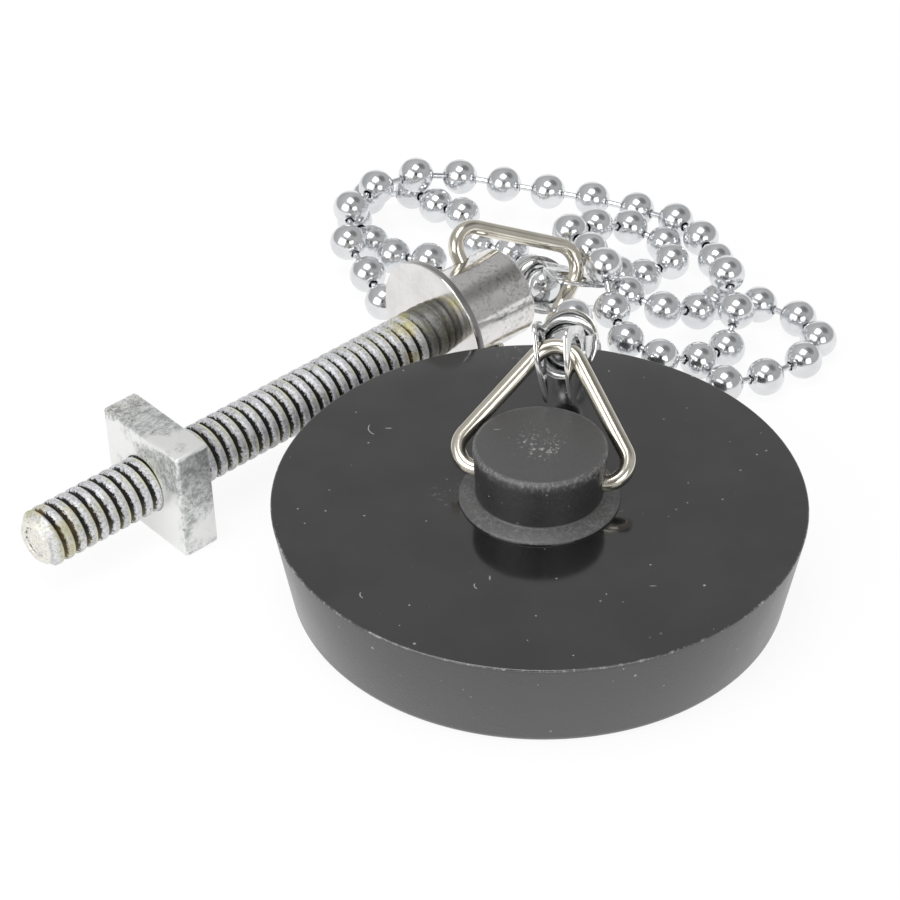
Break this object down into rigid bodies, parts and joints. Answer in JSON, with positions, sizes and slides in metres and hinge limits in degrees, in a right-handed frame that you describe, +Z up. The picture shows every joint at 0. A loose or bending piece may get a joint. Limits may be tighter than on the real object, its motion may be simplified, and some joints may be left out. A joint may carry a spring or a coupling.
{
  "type": "basin plug",
  "caption": "Black tapered basin plug with a boss and wire ring, held by a slack ball chain to a flanged bolt stay with a threaded stud and a square nut.",
  "frame": {"origin": "Centre of the plug's flat underside.", "axes": "Z is up through the boss. X runs to the right and Y away from the viewer of the picture, so the chain lies behind the plug and the stud points to the left."},
  "size_m": [0.0662, 0.0772, 0.0188],
  "materials": {
    "plug": "satin black moulding",
    "ring": "nickel plated wire",
    "clip": "nickel plated sheet",
    "chain": "bright chrome plate",
    "head": "polished nickel plate",
    "zinc": "zinc plate"
  },
  "bodies": {
    "chain": {"chain_balls_stay_end": "chain", "chain_balls_left_under": "chain", "chain_balls_left_inside": "chain", "chain_balls_left_front": "chain", "chain_balls_left_over": "chain", "chain_balls_back_left": "chain", "chain_balls_back_right": "chain", "chain_balls_right_down": "chain", "chain_balls_front_turn": "chain", "chain_balls_middle_over": "chain", "chain_balls_middle_turn": "chain", "chain_balls_middle_front": "chain", "chain_balls_right_loop": "chain", "chain_balls_front_run": "chain", "chain_links_stay_end": "chain", "chain_links_left_under": "chain", "chain_links_left_inside": "chain", "chain_links_left_front": "chain", "chain_links_left_over": "chain", "chain_links_back_left": "chain", "chain_links_back_right": "chain", "chain_links_right_down": "chain", "chain_links_front_turn": "chain", "chain_links_middle_over": "chain", "chain_links_middle_turn": "chain", "chain_links_middle_front": "chain", "chain_links_right_loop": "chain", "chain_links_front_run": "chain"},
    "lead": {"chain_balls_plug_end": "chain", "chain_links_plug_end": "chain"},
    "plug_clip": {"plug_clip": "clip"},
    "plug_ring": {"plug_ring": "ring"},
    "plug": {"plug": "plug"},
    "stay_clip": {"stay_clip": "clip"},
    "stay_ring": {"stay_ring": "ring"},
    "stay": {"stay_head": "head", "stay_stud": "zinc"},
    "nut": {"stay_nut": "zinc"}
  },
  "joints": [
    {"name": "lead_lift", "type": "hinge", "parent": "chain", "child": "lead", "pos_m": [0.00546, 0.02284, 0.00384], "axis": [-1, 0, 0], "range_deg": [0, 20]},
    {"name": "plug_clip_swivel", "type": "hinge", "parent": "lead", "child": "plug_clip", "pos_m": [0.00241, 0.01237, 0.01348], "axis": [0.1652, 0.8501, -0.5], "range_deg": [-8, 8]},
    {"name": "plug_ring_hinge", "type": "hinge", "parent": "plug_clip", "child": "plug_ring", "pos_m": [0.0015, 0.0077, 0.01623], "axis": [-0.9816, 0.1908, 0], "range_deg": [0, 60]},
    {"name": "plug_hinge", "type": "hinge", "parent": "plug_ring", "child": "plug", "pos_m": [0, 0, 0.0101], "axis": [-0.9816, 0.1908, 0], "range_deg": [0, 110]},
    {"name": "stay_clip_swivel", "type": "hinge", "parent": "chain", "child": "stay_clip", "pos_m": [0.00137, 0.03807, 0.00244], "axis": [-0.3627, 0.8335, -0.4169], "range_deg": [-4, 5]},
    {"name": "stay_ring_hinge", "type": "hinge", "parent": "stay_clip", "child": "stay_ring", "pos_m": [0.00336, 0.03348, 0.00473], "axis": [-0.446, -0.7137, -0.5401], "range_deg": [0, 14]},
    {"name": "stay_hinge", "type": "hinge", "parent": "stay_ring", "child": "stay", "pos_m": [-0.00435, 0.02946, 0.00621], "axis": [-0.3841, 0.3876, 0.838], "range_deg": [-20, 0]},
    {"name": "nut_slide", "type": "slide", "parent": "stay", "child": "nut", "axis": [0.7518, 0.6582, 0.0401], "range_m": [-0.01, 0.01]}
  ]
}
